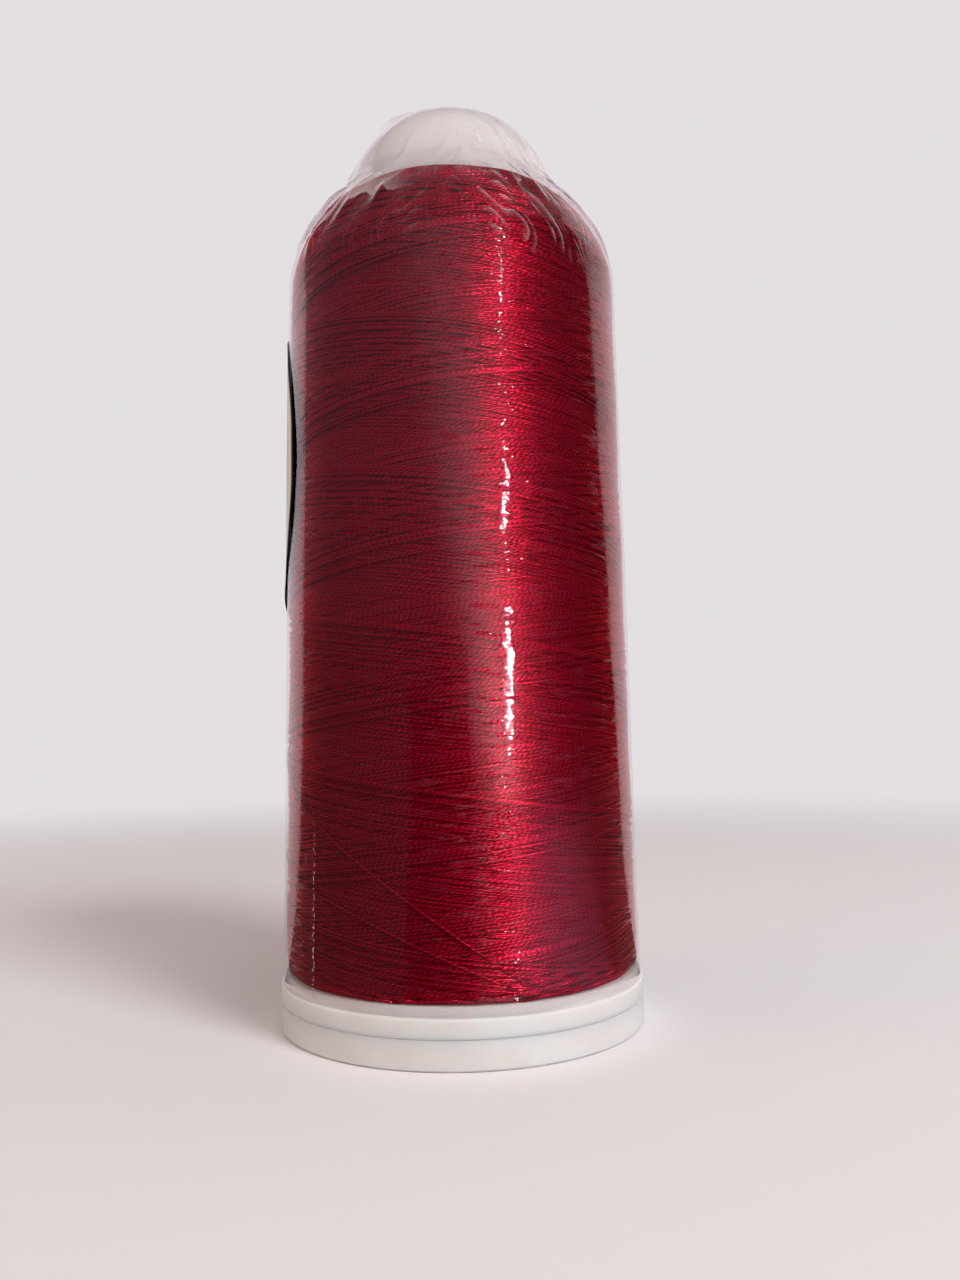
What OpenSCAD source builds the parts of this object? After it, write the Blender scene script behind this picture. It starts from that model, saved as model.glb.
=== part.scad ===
// King spool of embroidery thread: a moulded plastic core with a thread-lock base, a cross-wound
// package of thread, a shrunk clear film sleeve and an oval sticker.
// The spool stands on its foot: +Z is the spool's axis, z = 0 is the table, and -Y is the front.

/* [Core] */
// Height of the core from the table to the top of its nose
spool_h = 163.4; // [155:0.2:180]
// Wall of the tube and of the nose
core_wall = 1.3; // [1.0:0.1:1.8]
// Outer radius of the tube where it stands on the flange
tube_foot_r = 20.8; // [20.4:0.1:22]
// Outer radius of the tube where the nose begins
tube_head_r = 18.6; // [17.6:0.1:19]
// Height from the start of the nose to its top
nose_h = 16.4; // [13:0.2:18]
// How far the nose stands out over the tube, to hold the last turns
nose_overhang = 0.7; // [0.4:0.1:1.2]
// Radius of the hole in the nose, for the spool pin
pin_r = 8; // [6:0.5:9.5]
// Width of the flat ring round the hole in the nose
nose_flat = 1.6; // [1.2:0.1:2.4]
// Length of the sleeve that guides the pin inside the nose
pin_sleeve = 12; // [9:0.5:14]
// Number of gussets between the sleeve and the nose
gussets = 6; // [4:1:8]

/* [Flange and thread-lock base] */
// Outer radius of the foot
foot_r = 32; // [31.8:0.1:34]
// Height of the flange's top face, where the thread begins
flange_z = 9.5; // [9.2:0.1:11]
// Thickness of the flange's disc
flange_t = 1.5; // [1.2:0.1:1.8]
// Wall of the two skirts that make the foot's side
skirt_wall = 1.4; // [1.0:0.1:1.8]
// Width of the rounded step that the film's edge lies in
film_step = 0.5; // [0.4:0.1:0.8]
// Height of the seam between the core's skirt and the base
seam_z = 4.8; // [4.4:0.1:5.2]
// Gap at the seam when the base is closed
seam_gap = 0.05; // [0.05:0.05:0.3]
// Radius of the opening at the bottom of the core
mouth_r = 19.4; // [18.8:0.1:19.5]
// Wall of the spigot that the base snaps on
spigot_wall = 1.2; // [1.0:0.1:1.4]
// How far the spigot's lip stands out, to stop the base's hooks
lip = 0.7; // [0.6:0.05:0.9]
// Height of the lip
lip_h = 0.9; // [0.7:0.1:1.1]
// Thickness of the base's floor
base_floor = 1.4; // [1.0:0.1:1.6]
// Thickness of the base's snap fingers
finger_t = 1.2; // [0.9:0.1:1.4]
// Height of the hooks on the fingers
hook_h = 1.2; // [0.9:0.1:1.4]
// Number of snap fingers
fingers = 8; // [6:1:10]
// Number of ribs in the base and under the flange
ribs = 12; // [8:1:16]
// Thickness of the ribs and gussets
rib_t = 1; // [0.8:0.1:1.2]
// How far the base drops to open the thread lock
lock_travel = 3.2; // [2.6:0.1:3.3]

/* [Thread] */
// How far the plain package stands in from the foot's rim
pack_in = 2.1; // [2.1:0.05:3.2]
// How much narrower the package is where its shoulder begins, in radius
pack_taper = 1.4; // [0:0.1:2]
// Height where the shoulder begins
shoulder_z = 132.8; // [120:0.2:138]
// Exponent of the shoulder's curve: 2 is an ellipse, 1 is a cone
shoulder_power = 1.45; // [1.3:0.05:2.2]
// Rounding of the package's lower edge, across and up
foot_round = [0.8, 2]; // [0.5:0.1:4]
// Diameter of the thread
thread_d = 0.35; // [0.3:0.01:0.45]
// Turns of the outer layer, up and back
turns = 23.5; // [11.5:1:23.5]

/* [Film sleeve] */
// Thickness of the film
film_t = 0.12; // [0.08:0.01:0.2]
// Radius of the film's mouth on the nose
film_mouth_r = 9; // [8.8:0.1:11]
// Height of the film's lower edge above the film step
film_edge = 0.2; // [0.1:0.05:0.5]

/* [Sticker] */
// Width of the oval sticker round the spool
label_w = 38; // [30:1:44]
// Height of the oval sticker
label_h = 53; // [46:1:70]
// Thickness of the sticker
label_t = 0.15; // [0.1:0.01:0.25]
// Height of the sticker's centre
label_z = 98.8; // [60:0.1:100]
// Turn of the sticker's centre from the front towards the left
label_turn = 102; // [0:1:180]

/* [Hidden] */
$fn = 96;
// Fits: running gap at the hooks, gap between seated surfaces, and the heights over the table of
// the spigot's end and the base's floor
run_gap = 0.25;
seat_gap = 0.05;
spigot_z = 0.9;
base_floor_z = 0.8;
// Overlap that joins ribs and gussets to their walls, and how far ribs and gussets stay back from
// the edge of the wall they stand on
weld = 0.3;
rib_back = 1;
// Edge break on the foot, finer at its seam
edge = 0.4;
seam_edge = 0.1;
// Points on a rounded edge, the shoulder and the nose
round_n = 5;
shoulder_n = 12;
nose_n = 14;
// Rings on a turn and sides on the thread's tube, and the gap where the strand crosses itself
turn_rings = 24;
thread_sides = 6;
layer_gap = 0.45;

// Heights up the spool
nose_z = spool_h - nose_h;
step_z = flange_z - flange_t;
lip_z = spigot_z + lip_h;
hook_z = lip_z + lock_travel + run_gap;

// Radii outward from the axis
groove_r = mouth_r + spigot_wall;
lip_r = groove_r + lip;
hook_r = groove_r + run_gap;
finger_r = lip_r + run_gap;
finger_out_r = finger_r + finger_t;
skirt_r = foot_r - skirt_wall;
disc_r = foot_r - film_step;
nose_r = tube_head_r + nose_overhang;
sleeve_r = pin_r + core_wall;
nose_flat_r = pin_r + nose_flat;

// Half height of the nose's ellipse, so that it meets the flat ring at the top
nose_rise = nose_h / sqrt(1 - pow(nose_flat_r / nose_r, 2));

// Outer radius of the tube at a height
function tube_r(z) = tube_foot_r + (tube_head_r - tube_foot_r) * (z - flange_z) / (nose_z - flange_z);

// Points of a quarter ellipse round a centre, from angle a0 to a1 in degrees
function arc(cr, cz, rr, rz, a0, a1, n) =
    [for (i = [0:n]) let(a = a0 + (a1 - a0) * i / n) [cr + rr * cos(a), cz + rz * sin(a)]];

// Package outline from its lower edge to the nose, as [radius, height] points
pack_foot_r = foot_r - pack_in;
pack_head_r = pack_foot_r - pack_taper;
pack_end_r = tube_head_r + nose_overhang / 2;
pack_z = flange_z + seat_gap;
cone_z = pack_z + foot_round.y;
function pack_cone_r(z) = pack_foot_r - pack_taper * (z - cone_z) / (shoulder_z - cone_z);
pack_outline = concat(
    arc(pack_foot_r - foot_round.x, cone_z, foot_round.x, foot_round.y, -90, 0, round_n),
    [for (i = [0:shoulder_n])
        let(a = 90 * i / shoulder_n, q = 2 / shoulder_power)
        [pack_end_r + (pack_head_r - pack_end_r) * pow(cos(a), q),
         shoulder_z + (nose_z - seat_gap - shoulder_z) * pow(sin(a), q)]]);

// Outward unit normal of an outline at point i, and the outline moved outward
function unit(v) = v / norm(v);
function along(p, i) = unit(p[min(i + 1, len(p) - 1)] - p[max(i - 1, 0)]);
function normal(p, i) = let(t = along(p, i)) [t.y, -t.x];
function moved(p, d) = [for (i = [0:len(p) - 1]) p[i] + d * normal(p, i)];

// One moulding: lip and spigot, skirt, flange, tapered tube, nose and pin sleeve
module core_shell() {
    nose_in_r = nose_r - core_wall;
    nose_in_rise = nose_rise - core_wall;
    flat_a = acos(nose_flat_r / nose_r);
    sleeve_a = acos(sleeve_r / nose_in_r);
    rotate_extrude() polygon(concat(
        [[mouth_r, spigot_z], [lip_r - edge, spigot_z], [lip_r, spigot_z + edge], [lip_r, lip_z]],
        [[groove_r, lip_z], [groove_r, step_z], [skirt_r, step_z], [skirt_r, seam_z + seam_gap / 2]],
        [[foot_r - seam_edge, seam_z + seam_gap / 2], [foot_r, seam_z + seam_gap / 2 + seam_edge]],
        arc(disc_r, step_z - film_step, film_step, film_step, 0, 90, round_n),
        [[disc_r, flange_z - edge], [disc_r - edge, flange_z]],
        [[tube_foot_r, flange_z], [tube_head_r, nose_z]],
        arc(0, nose_z, nose_r, nose_rise, 0, flat_a, nose_n),
        [[pin_r + edge, spool_h], [pin_r, spool_h - edge], [pin_r, spool_h - pin_sleeve]],
        [[sleeve_r, spool_h - pin_sleeve]],
        arc(0, nose_z, nose_in_r, nose_in_rise, sleeve_a, 0, nose_n),
        [[tube_head_r - core_wall, nose_z - core_wall], [tube_foot_r - core_wall, flange_z]],
        [[mouth_r, step_z]]));
}

// Thin plates that carry the pin sleeve inside the nose
module nose_gussets() {
    low_z = spool_h - pin_sleeve + 2 * rib_back;
    reach_r = tube_head_r - core_wall / 2;
    intersection() {
        for (i = [0:gussets - 1])
            rotate(i * 360 / gussets)
                translate([sleeve_r - weld, -rib_t / 2, low_z])
                    cube([reach_r - sleeve_r + weld, rib_t, spool_h - low_z]);
        rotate_extrude() polygon(concat(
            [[sleeve_r - weld, low_z], [nose_r - core_wall, low_z]],
            arc(0, nose_z, nose_r - core_wall + weld, nose_rise - core_wall + weld,
                asin((low_z - nose_z) / (nose_rise - core_wall + weld)),
                acos((sleeve_r - weld) / (nose_r - core_wall + weld)), nose_n)));
    }
}

// Ribs between the flange and its skirt, clear of the snap fingers
module flange_ribs() {
    rib_in_r = finger_out_r + 2 * run_gap;
    rib_low_z = seam_z + rib_back;
    for (i = [0:ribs - 1])
        rotate((i + 0.5) * 360 / ribs)
            translate([rib_in_r, -rib_t / 2, rib_low_z])
                cube([skirt_r - rib_in_r + weld, rib_t, step_z - rib_low_z + weld]);
}

module spool_core() {
    color([0.86, 0.84, 0.82]) union() {
        core_shell();
        nose_gussets();
        flange_ribs();
    }
}

// Foot of the spool: a skirt, a floor and a ring of snap fingers with hooks
module snap_base() {
    top_z = seam_z - seam_gap / 2;
    floor_top = base_floor_z + base_floor;
    finger_top = hook_z + hook_h;
    rib_in_r = finger_out_r + run_gap;
    color([0.86, 0.84, 0.82]) union() {
        difference() {
            rotate_extrude() polygon([
                [skirt_r, 0], [foot_r - edge, 0], [foot_r, edge],
                [foot_r, top_z - seam_edge], [foot_r - seam_edge, top_z], [skirt_r, top_z],
                [skirt_r, floor_top], [finger_out_r, floor_top],
                [finger_out_r, finger_top - edge], [finger_out_r - edge, finger_top],
                [finger_r, finger_top], [hook_r, finger_top - edge],
                [hook_r, hook_z], [finger_r, hook_z],
                [finger_r, base_floor_z], [skirt_r, base_floor_z]]);
            for (i = [0:fingers - 1])
                rotate(i * 360 / fingers)
                    translate([hook_r - weld, -rib_t / 2, floor_top])
                        cube([finger_out_r - hook_r + 2 * weld, rib_t, finger_top]);
        }
        for (i = [0:ribs - 1])
            rotate((i + 0.5) * 360 / ribs)
                translate([rib_in_r, -rib_t / 2, floor_top - weld])
                    cube([skirt_r - rib_in_r + weld, rib_t, top_z - floor_top + weld - rib_back]);
    }
}

// Thread wound on the tube, under the outer layer
module thread_pack() {
    color([0.42, 0.02, 0.07])
        rotate_extrude() polygon(concat(
            [[tube_r(pack_z) + seat_gap, pack_z]],
            pack_outline,
            [[tube_r(nose_z - seat_gap) + seat_gap, nose_z - seat_gap]]));
}

// The outer layer is one strand: it winds up the package to the shoulder's top, climbs over itself
// in the half turn where it turns back, and crosses its own turns on the way down.
// The tables give the package's outline and its outward normal by the distance run along it.
wind_from = 3;
wind_to = len(pack_outline) - 3;
function run_to(i) = i <= wind_from ? 0 : norm(pack_outline[i] - pack_outline[i - 1]) + run_to(i - 1);
wind_length = run_to(wind_to);
wind_r = [for (i = [wind_from:wind_to]) [run_to(i), pack_outline[i].x]];
wind_z = [for (i = [wind_from:wind_to]) [run_to(i), pack_outline[i].y]];
wind_out_r = [for (i = [wind_from:wind_to]) [run_to(i), normal(pack_outline, i).x]];
wind_out_z = [for (i = [wind_from:wind_to]) [run_to(i), normal(pack_outline, i).y]];

// Centre of ring i. Rings stand out by the chord factor, so that the straight run from one ring to
// the next still clears what it lies on.
chord = 1 / cos(180 / turn_rings);
wind_rings = turns * turn_rings;
function layer(i) = max(0, min(1, (i - wind_rings / 2) / (turn_rings / 2) + 0.5));
function stand_off(i) = thread_d / 2 + seat_gap + layer(i) * (thread_d + layer_gap);
function wind_centre(i) = let(
    run = wind_length * (1 - abs(2 * i / wind_rings - 1)),
    r = (lookup(run, wind_r) + stand_off(i) * lookup(run, wind_out_r)) * chord,
    a = 360 * i / turn_rings)
        [r * cos(a), r * sin(a), lookup(run, wind_z) + stand_off(i) * lookup(run, wind_out_z)];

// Strand's centre line, with both ends standing straight and square on the flange
function foot_of(p) = [p.x, p.y, pack_z];
centres = concat(
    [foot_of(wind_centre(0))],
    [for (i = [0:wind_rings]) wind_centre(i)],
    [foot_of(wind_centre(wind_rings))]);
wind_end = len(centres) - 1;

// Least gap from the strand to its other turns, surface to surface, on points along its runs
gap_steps = 4;
gap_turn = gap_steps * turn_rings;
gap_reach = 3;
gap_points = [for (i = [1:wind_end - 2]) for (k = [0:gap_steps - 1])
    centres[i] + (centres[i + 1] - centres[i]) * k / gap_steps];
gap_last = len(gap_points) - 1;
least_gap = min([for (i = [0:gap_last]) for (j = [i + gap_turn:gap_turn:gap_last + gap_reach])
    for (near = [max(0, j - gap_reach):min(gap_last, j + gap_reach)])
        norm(gap_points[i] - gap_points[near])]) - thread_d;
echo(outer_winding_least_gap_mm = least_gap);

module outer_winding() {
    rings = [for (i = [0:wind_end]) let(
        to = unit(centres[min(i + 1, wind_end)] - centres[min(i, wind_end - 1)]),
        from = unit(centres[max(i, 1)] - centres[max(i - 1, 0)]),
        run = unit(from + to),
        out = unit([centres[i].x, centres[i].y, 0]),
        side = unit(cross(out, run)) / (run * to))
            for (k = [0:thread_sides - 1]) let(a = 360 * k / thread_sides)
                centres[i] + thread_d / 2 * (cos(a) * out + sin(a) * side)];
    last = wind_end * thread_sides;
    sides = [for (i = [0:wind_end - 1]) for (k = [0:thread_sides - 1])
        let(a = i * thread_sides + k, b = i * thread_sides + (k + 1) % thread_sides)
            each [[a, b, b + thread_sides], [a, b + thread_sides, a + thread_sides]]];
    caps = [for (k = [1:thread_sides - 2]) each [[0, k + 1, k], [last, last + k, last + k + 1]]];
    color([0.72, 0.04, 0.16]) polyhedron(rings, concat(sides, caps));
}

// Film's inner line: it hugs the thread, bridges the neck and lies on the nose to its mouth
film_gap = 2 * thread_d + layer_gap + 2 * seat_gap + pack_foot_r * (chord - 1);
film_low_z = step_z + film_edge;
film_on_pack = moved(pack_outline, film_gap);
neck_skip = 3;
nose_lift = seat_gap + 0.2;
mouth_a = acos(film_mouth_r / (nose_r + nose_lift));
neck_a = 12;
film_line = concat(
    [[disc_r + seat_gap, film_low_z], [disc_r + seat_gap, flange_z + seat_gap]],
    [for (i = [round_n:len(film_on_pack) - 1 - neck_skip]) film_on_pack[i]],
    arc(0, nose_z, nose_r + nose_lift, nose_rise + nose_lift, neck_a, mouth_a, nose_n));

module shrink_film() {
    outer = moved(film_line, film_t);
    color([0.93, 0.90, 0.92, 0.3])
        rotate_extrude() polygon(concat(film_line, [for (i = [len(outer) - 1:-1:0]) outer[i]]));
}

// Oval sticker on the film
module label() {
    oval_n = 48;
    below_z = label_z - label_h / 2 - label_t;
    above_z = label_z + label_h / 2 + label_t;
    in_gap = film_gap + film_t + seat_gap;
    low_r = pack_cone_r(below_z) + in_gap;
    high_r = pack_cone_r(above_z) + in_gap;
    half_turn = label_w / 2 / (pack_foot_r + in_gap) * 180 / PI;
    color([0.16, 0.27, 0.55])
        intersection() {
            rotate_extrude() polygon([
                [low_r, below_z], [low_r + label_t, below_z],
                [high_r + label_t, above_z], [high_r, above_z]]);
            translate([0, 0, label_z])
                rotate([90, 0, -label_turn])
                    linear_extrude(2 * foot_r)
                        polygon([for (i = [0:oval_n - 1]) let(a = 360 * i / oval_n)
                            [(pack_foot_r + in_gap) * sin(half_turn * cos(a)), label_h / 2 * sin(a)]]);
        }
}

spool_core();
snap_base();
thread_pack();
outer_winding();
shrink_film();
label();
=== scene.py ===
import math

import bpy
import numpy as np
from mathutils import Matrix, Vector


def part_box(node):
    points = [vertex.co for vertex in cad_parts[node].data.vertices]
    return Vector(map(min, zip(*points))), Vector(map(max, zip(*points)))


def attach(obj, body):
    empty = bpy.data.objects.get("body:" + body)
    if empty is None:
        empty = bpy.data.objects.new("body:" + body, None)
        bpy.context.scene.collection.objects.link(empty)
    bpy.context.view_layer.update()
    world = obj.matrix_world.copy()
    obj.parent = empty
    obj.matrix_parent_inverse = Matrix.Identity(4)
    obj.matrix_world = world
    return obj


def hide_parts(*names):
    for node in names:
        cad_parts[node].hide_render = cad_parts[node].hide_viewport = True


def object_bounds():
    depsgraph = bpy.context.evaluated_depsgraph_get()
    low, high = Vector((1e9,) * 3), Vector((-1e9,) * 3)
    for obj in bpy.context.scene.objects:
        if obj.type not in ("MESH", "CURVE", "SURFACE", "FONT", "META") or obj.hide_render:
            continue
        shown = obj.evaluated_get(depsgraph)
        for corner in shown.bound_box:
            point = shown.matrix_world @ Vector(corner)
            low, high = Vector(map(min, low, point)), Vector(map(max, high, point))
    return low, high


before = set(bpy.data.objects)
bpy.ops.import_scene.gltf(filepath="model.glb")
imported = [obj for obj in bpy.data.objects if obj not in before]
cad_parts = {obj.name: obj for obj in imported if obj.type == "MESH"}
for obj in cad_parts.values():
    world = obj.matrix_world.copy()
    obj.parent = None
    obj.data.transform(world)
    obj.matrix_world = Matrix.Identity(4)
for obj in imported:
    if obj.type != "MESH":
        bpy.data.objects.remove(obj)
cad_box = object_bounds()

MM = 0.001

# ---------------------------------------------------------------------------------------------
# Camera. It stands close to the spool, a third of the way up it and tipped a little upward, so that
# both ends of the spool bulge outward. The frame is 960 by 1280, and its long side sets the lens.
# ---------------------------------------------------------------------------------------------
FRAME_LONG_PX = 1280
FOCAL_PX = 1080
SENSOR_W = 36.0
CAMERA_NEAR = 10 * MM
CAMERA_AT = Vector((-2.23, -197.83, 52.69)) * MM
CAMERA_PITCH, CAMERA_YAW, CAMERA_ROLL = 0.074, 0.032, -0.017

camera_data = bpy.data.cameras.new("camera")
camera_data.sensor_width = SENSOR_W
camera_data.lens = SENSOR_W * FOCAL_PX / FRAME_LONG_PX
camera_data.clip_start = CAMERA_NEAR
camera = bpy.data.objects.new("camera", camera_data)
bpy.context.scene.collection.objects.link(camera)

look = Vector((math.sin(CAMERA_YAW) * math.cos(CAMERA_PITCH),
               math.cos(CAMERA_YAW) * math.cos(CAMERA_PITCH),
               math.sin(CAMERA_PITCH)))
level_right = Vector((math.cos(CAMERA_YAW), -math.sin(CAMERA_YAW), 0.0))
level_up = level_right.cross(look)
cam_right = math.cos(CAMERA_ROLL) * level_right + math.sin(CAMERA_ROLL) * level_up
cam_up = -math.sin(CAMERA_ROLL) * level_right + math.cos(CAMERA_ROLL) * level_up
turned = Matrix((cam_right, cam_up, -look)).transposed().to_4x4()
camera.matrix_world = Matrix.Translation(CAMERA_AT) @ turned
bpy.context.scene.camera = camera
bpy.context.scene.view_settings.view_transform = "Standard"

# ---------------------------------------------------------------------------------------------
# Studio: a pale world, a pale floor that fades into it, three soft lights that glossy surfaces
# don't mirror, and small lamps and glowing screens that only glossy surfaces show.
# ---------------------------------------------------------------------------------------------
PALE = (0.77, 0.74, 0.75, 1.0)
SKY_COLOUR, SKY_STRENGTH = (1.0, 0.91, 0.89, 1.0), 0.48


def added(tree, kind, sockets=None, **settings):
    """A new shader node. Its sockets take plain values, or links from other nodes' outputs."""
    made = tree.nodes.new("ShaderNode" + kind)
    for name, value in settings.items():
        setattr(made, name, value)
    for key, value in (sockets or {}).items():
        if isinstance(value, bpy.types.NodeSocket):
            tree.links.new(value, made.inputs[key])
        else:
            made.inputs[key].default_value = value
    return made


def maths(tree, operation, *values):
    """The result of a math node on up to three numbers or outputs."""
    return added(tree, "Math", dict(enumerate(values)), operation=operation).outputs[0]


def seen_directly(tree):
    """A value that is 1 for camera, glossy and transmission rays, and 0 for all others."""
    rays = added(tree, "LightPath").outputs
    camera_or_glossy = maths(tree, "MAXIMUM", rays["Is Camera Ray"], rays["Is Glossy Ray"])
    return maths(tree, "MAXIMUM", camera_or_glossy, rays["Is Transmission Ray"])


world = bpy.data.worlds.new("pale_world")
world.use_nodes = True
bpy.context.scene.world = world
tree = world.node_tree
tree.nodes.clear()
soft_sky = added(tree, "Background", {"Color": SKY_COLOUR, "Strength": SKY_STRENGTH})
seen_sky = added(tree, "Background", {"Color": PALE, "Strength": 1.0})
sky_mix = added(tree, "MixShader", {0: seen_directly(tree),
                                    1: soft_sky.outputs[0],
                                    2: seen_sky.outputs[0]})
added(tree, "OutputWorld", {"Surface": sky_mix.outputs[0]})


def mesh_piece(name, verts, faces, smooth=True):
    """A new mesh object in the scene, from points in metres."""
    mesh = bpy.data.meshes.new(name)
    mesh.from_pydata([tuple(v) for v in verts], [], [tuple(f) for f in faces])
    mesh.polygons.foreach_set("use_smooth", [smooth] * len(mesh.polygons))
    mesh.update()
    piece = bpy.data.objects.new(name, mesh)
    bpy.context.scene.collection.objects.link(piece)
    return piece


def round_sheet(name, radius, z, sides=96):
    """A flat disc at height z."""
    turns = [2 * math.pi * i / sides for i in range(sides)]
    ring = [(radius * math.cos(turn), radius * math.sin(turn), z) for turn in turns]
    return mesh_piece(name, ring, [range(sides)], smooth=False)


FLOOR_RADIUS = 4.0
FLOOR_FADE_FROM, FLOOR_FADE_TO = 0.20, 0.60
FLOOR_DARK, FLOOR_LIGHT = (0.80, 0.77, 0.78, 1.0), (0.84, 0.81, 0.82, 1.0)

floor = round_sheet("floor", FLOOR_RADIUS, 0.0)
floor_material = bpy.data.materials.new("pale_floor")
floor_material.use_nodes = True
tree = floor_material.node_tree
floor_shader = tree.nodes["Principled BSDF"]
floor_shader.inputs["Roughness"].default_value = 0.8
floor_shader.inputs["Specular IOR Level"].default_value = 0.0
floor_place = added(tree, "TexCoord").outputs["Object"]
floor_away = added(tree, "VectorMath", {0: floor_place}, operation="LENGTH").outputs["Value"]
floor_fade = added(tree, "MapRange", {"Value": floor_away,
                                      "From Min": FLOOR_FADE_FROM,
                                      "From Max": FLOOR_FADE_TO}, interpolation_type="SMOOTHSTEP")
floor_clear = added(tree, "BsdfTransparent")
floor_mix = added(tree, "MixShader", {0: floor_fade.outputs["Result"],
                                      1: floor_shader.outputs[0],
                                      2: floor_clear.outputs[0]})
tree.links.new(floor_mix.outputs[0], tree.nodes["Material Output"].inputs["Surface"])
floor_noise = added(tree, "TexNoise", {"Scale": 6.0})
floor_ramp = added(tree, "ValToRGB", {"Fac": floor_noise.outputs["Fac"]})
floor_ramp.color_ramp.elements[0].color = FLOOR_DARK
floor_ramp.color_ramp.elements[1].color = FLOOR_LIGHT
tree.links.new(floor_ramp.outputs["Color"], floor_shader.inputs["Base Color"])
floor.data.materials.append(floor_material)


def aim(light, at):
    """Turns a light so that it shines towards a point."""
    light.rotation_euler = (Vector(at) - light.location).to_track_quat("-Z", "Y").to_euler()


def round_the_spool(azimuth, distance, height):
    """A place round the spool, with azimuth in degrees from the front towards the right."""
    turn = math.radians(azimuth)
    return Vector((distance * math.sin(turn), -distance * math.cos(turn), height))


def soft_light(name, size, energy, colour, place, at):
    """A round soft light that glossy surfaces don't mirror."""
    light = bpy.data.objects.new(name, bpy.data.lights.new(name, "AREA"))
    light.data.shape = "DISK"
    light.data.size = size
    light.data.energy = energy
    light.data.color = colour
    light.location = place
    light.visible_glossy = False
    bpy.context.scene.collection.objects.link(light)
    aim(light, at)


soft_light("fill_light", size=0.55, energy=2.2, colour=(0.95, 0.98, 0.98),
           place=round_the_spool(24, 1.0, 0.5), at=(0, 0, 0.07))
soft_light("top_light", size=0.35, energy=5.6, colour=(0.95, 1.0, 1.0),
           place=round_the_spool(40, 0.75, 0.80), at=(0, 0, 0.03))
soft_light("warm_light", size=0.8, energy=1.2, colour=(1.0, 0.46, 0.28),
           place=round_the_spool(-75, 1.0, 0.5), at=(0, 0, 0.07))

# Four small lamps, one over the other, that glossy surfaces show as specks. Each has a height, a
# radius and an energy.
SPECK_AZIMUTH, SPECK_DISTANCE = 31, 0.9
SPECK_LAMPS = ((0.11, 0.015, 13.0), (0.285, 0.010, 1.4), (0.49, 0.006, 0.3), (0.56, 0.007, 0.4))
for number, (height, lamp_radius, energy) in enumerate(SPECK_LAMPS):
    lamp_name = f"speck_lamp_{number}"
    lamp = bpy.data.objects.new(lamp_name, bpy.data.lights.new(lamp_name, "POINT"))
    lamp.data.shadow_soft_size = lamp_radius
    lamp.data.energy = energy
    lamp.visible_diffuse = False
    lamp.location = round_the_spool(SPECK_AZIMUTH, SPECK_DISTANCE, height)
    bpy.context.scene.collection.objects.link(lamp)


def glossy_only(piece, colour, strength):
    """Gives a screen its plain glow, and hides it from all but glossy rays."""
    glow = bpy.data.materials.new(piece.name)
    glow.use_nodes = True
    tree = glow.node_tree
    tree.nodes.clear()
    shine = added(tree, "Emission", {"Color": (*colour, 1.0), "Strength": strength})
    added(tree, "OutputMaterial", {"Surface": shine.outputs[0]})
    piece.data.materials.append(glow)
    piece.visible_camera = False
    piece.visible_diffuse = False
    piece.visible_transmission = False
    piece.visible_volume_scatter = False
    piece.visible_shadow = False
    return piece


# Above this height, in metres, a leaning edge goes straight up.
LEAN_UP_TO = 0.6


def screen(name, azimuths, distance, heights, colour, strength=1.0, steps=24, lean=0.0):
    """A curved screen round the spool that only glossy rays see. Its right edge may lean, in
    degrees for each metre of height."""
    verts, faces = [], []
    left = azimuths[0]
    for i in range(steps + 1):
        for z in heights:
            right = azimuths[1] + lean * min(z, LEAN_UP_TO)
            verts.append(round_the_spool(left + (right - left) * i / steps, distance, z))
    rows = len(heights)
    for i in range(steps):
        for k in range(rows - 1):
            a = i * rows + k
            faces.append((a, a + 1, a + rows + 1, a + rows))
    return glossy_only(mesh_piece(name, verts, faces), colour, strength)


def profile(tree, along, reach, stops):
    """A colour or brightness that follows (place, level) stops along a coordinate from 0 to its
    reach."""
    ramp = added(tree, "ValToRGB", {"Fac": maths(tree, "DIVIDE", along, reach)})
    ramp.color_ramp.interpolation = "EASE"
    elements = ramp.color_ramp.elements
    elements[1].position = stops[-1][0] / reach
    for _ in stops[2:]:
        elements.new(0.5 * stops[-1][0] / reach)
    for element, (at, level) in zip(elements, stops):
        element.position = at / reach
        element.color = (*level, 1.0) if isinstance(level, tuple) else (level, level, level, 1.0)
    return ramp.outputs["Color"]


def multiplied(tree, a, b):
    """Two colours multiplied."""
    mix = added(tree, "Mix", {"Factor": 1.0}, data_type="RGBA", blend_type="MULTIPLY")
    tree.links.new(a, mix.inputs["A"])
    tree.links.new(b, mix.inputs["B"])
    return mix.outputs["Result"]


def place_on(tree):
    """X, Y and Z of the point that is shaded, in metres."""
    return added(tree, "SeparateXYZ", {0: added(tree, "TexCoord").outputs["Object"]}).outputs


def azimuth_on(tree):
    """Azimuth of the point that is shaded, in degrees from the front towards the right."""
    place = place_on(tree)
    turn = maths(tree, "ARCTAN2", place["X"], maths(tree, "MULTIPLY", place["Y"], -1.0))
    return maths(tree, "MULTIPLY", turn, 180.0 / math.pi)


def glow_by(tree, colour):
    """Lets a colour that changes over a screen set its glow."""
    tree.links.new(colour, tree.nodes["Emission"].inputs["Color"])


# The reach of a profile round the spool, in degrees, and of one up or outward, in metres
HALF_TURN = 180.0
METRE = 1.0

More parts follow.
